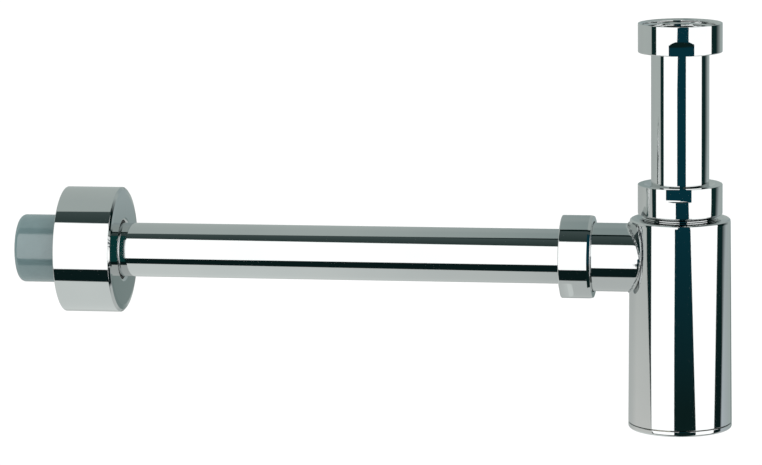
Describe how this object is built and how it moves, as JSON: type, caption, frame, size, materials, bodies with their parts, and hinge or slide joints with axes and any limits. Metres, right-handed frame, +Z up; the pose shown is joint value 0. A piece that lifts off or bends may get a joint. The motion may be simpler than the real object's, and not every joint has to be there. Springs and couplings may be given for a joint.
{
  "type": "bottle trap",
  "caption": "Round chromed bottle trap: union nut on an inlet tube, bottle with screw-on clean-out cap, side branch, long wall tube, deep wall rosette and rubber sleeve.",
  "frame": {"origin": "centre of the top face of the inlet washer, on the axis of the inlet tube, where the basin waste seats", "axes": "+Z up along the inlet tube, -X along the wall tube toward the wall, +Y toward the back of the trap as it is seen with the wall tube on the left"},
  "size_m": [0.4042, 0.0708, 0.226],
  "materials": {
    "chrome": "polished chrome plate on brass",
    "black_rubber": "matt moulded rubber",
    "grey_rubber": "matt grey rubber",
    "nylon": "natural nylon, satin",
    "grey_plastic": "moulded polypropylene, satin"
  },
  "bodies": {
    "inlet": {"inlet_tube": "chrome", "inlet_washer": "black_rubber"},
    "inlet_ring": {"inlet_slip_ring": "nylon"},
    "inlet_nut": {"inlet_nut": "chrome"},
    "neck_seal": {"neck_cone_seal": "black_rubber"},
    "bottle": {"bottle_body": "chrome", "outlet_spigot": "chrome"},
    "neck_ring": {"neck_slip_ring": "nylon"},
    "neck_nut": {"neck_nut": "chrome"},
    "dip": {"dip_tube": "grey_plastic", "dip_tube_o_ring": "black_rubber"},
    "cap_ring": {"cleanout_o_ring": "black_rubber"},
    "cap": {"cleanout_cap": "chrome"},
    "outlet_ring": {"outlet_slip_ring": "nylon"},
    "outlet_nut": {"outlet_nut": "chrome"},
    "outlet_seal": {"outlet_cone_seal": "black_rubber"},
    "wall_tube": {"wall_tube": "chrome"},
    "rose_ring": {"escutcheon_grip_ring": "black_rubber"},
    "rosette": {"wall_escutcheon": "chrome"},
    "sleeve": {"wall_sleeve": "grey_rubber"}
  },
  "joints": [
    {"name": "inlet_nut_drop", "type": "slide", "parent": "inlet", "child": "inlet_ring", "axis": [0, 0, -1], "range_m": [0, 0.025]},
    {"name": "inlet_nut_spin", "type": "hinge", "parent": "inlet_ring", "child": "inlet_nut", "pos_m": [0, 0, 0], "axis": [0, 0, 1], "continuous": true},
    {"name": "height_adjust", "type": "slide", "parent": "inlet", "child": "neck_seal", "axis": [0, 0, 1], "range_m": [-0.03, 0.03]},
    {"name": "bottle_swivel", "type": "hinge", "parent": "neck_seal", "child": "bottle", "pos_m": [0, 0, -0.1], "axis": [0, 0, 1], "continuous": true},
    {"name": "neck_nut_lift", "type": "slide", "parent": "bottle", "child": "neck_ring", "axis": [0, 0, 1], "range_m": [0, 0.00809]},
    {"name": "neck_nut_turn", "type": "hinge", "parent": "neck_ring", "child": "neck_nut", "pos_m": [0, 0, -0.09], "axis": [0, 0, 1], "range_deg": [0, 1260]},
    {"name": "dip_tube_pull", "type": "slide", "parent": "bottle", "child": "dip", "axis": [0, 0, -1], "range_m": [0, 0.01]},
    {"name": "cap_drop", "type": "slide", "parent": "bottle", "child": "cap_ring", "axis": [0, 0, -1], "range_m": [0, 0.00801]},
    {"name": "cap_turn", "type": "hinge", "parent": "cap_ring", "child": "cap", "pos_m": [0, 0, -0.21], "axis": [0, 0, -1], "range_deg": [0, 1440]},
    {"name": "outlet_nut_shift", "type": "slide", "parent": "bottle", "child": "outlet_ring", "axis": [-1, 0, 0], "range_m": [0, 0.00809]},
    {"name": "outlet_nut_turn", "type": "hinge", "parent": "outlet_ring", "child": "outlet_nut", "pos_m": [-0.057, 0, -0.1239], "axis": [-1, 0, 0], "range_deg": [0, 1260]},
    {"name": "wall_tube_swivel", "type": "hinge", "parent": "bottle", "child": "outlet_seal", "pos_m": [-0.06, 0, -0.1239], "axis": [-1, 0, 0], "continuous": true},
    {"name": "wall_tube_telescope", "type": "slide", "parent": "outlet_seal", "child": "wall_tube", "axis": [-1, 0, 0], "range_m": [-0.012, 0.01]},
    {"name": "rosette_slide", "type": "slide", "parent": "wall_tube", "child": "rose_ring", "axis": [1, 0, 0], "range_m": [0, 0.2]},
    {"name": "rosette_spin", "type": "hinge", "parent": "rose_ring", "child": "rosette", "pos_m": [-0.32, 0, -0.1239], "axis": [1, 0, 0], "continuous": true},
    {"name": "sleeve_pull", "type": "slide", "parent": "wall_tube", "child": "sleeve", "axis": [-1, 0, 0], "range_m": [0, 0.02]}
  ],
  "couplings": [
    {"joint": "neck_nut_lift", "follows": "neck_nut_turn", "m_per_rad": 0.00036749},
    {"joint": "cap_drop", "follows": "cap_turn", "m_per_rad": 0.00031831},
    {"joint": "outlet_nut_shift", "follows": "outlet_nut_turn", "m_per_rad": 0.00036749}
  ]
}
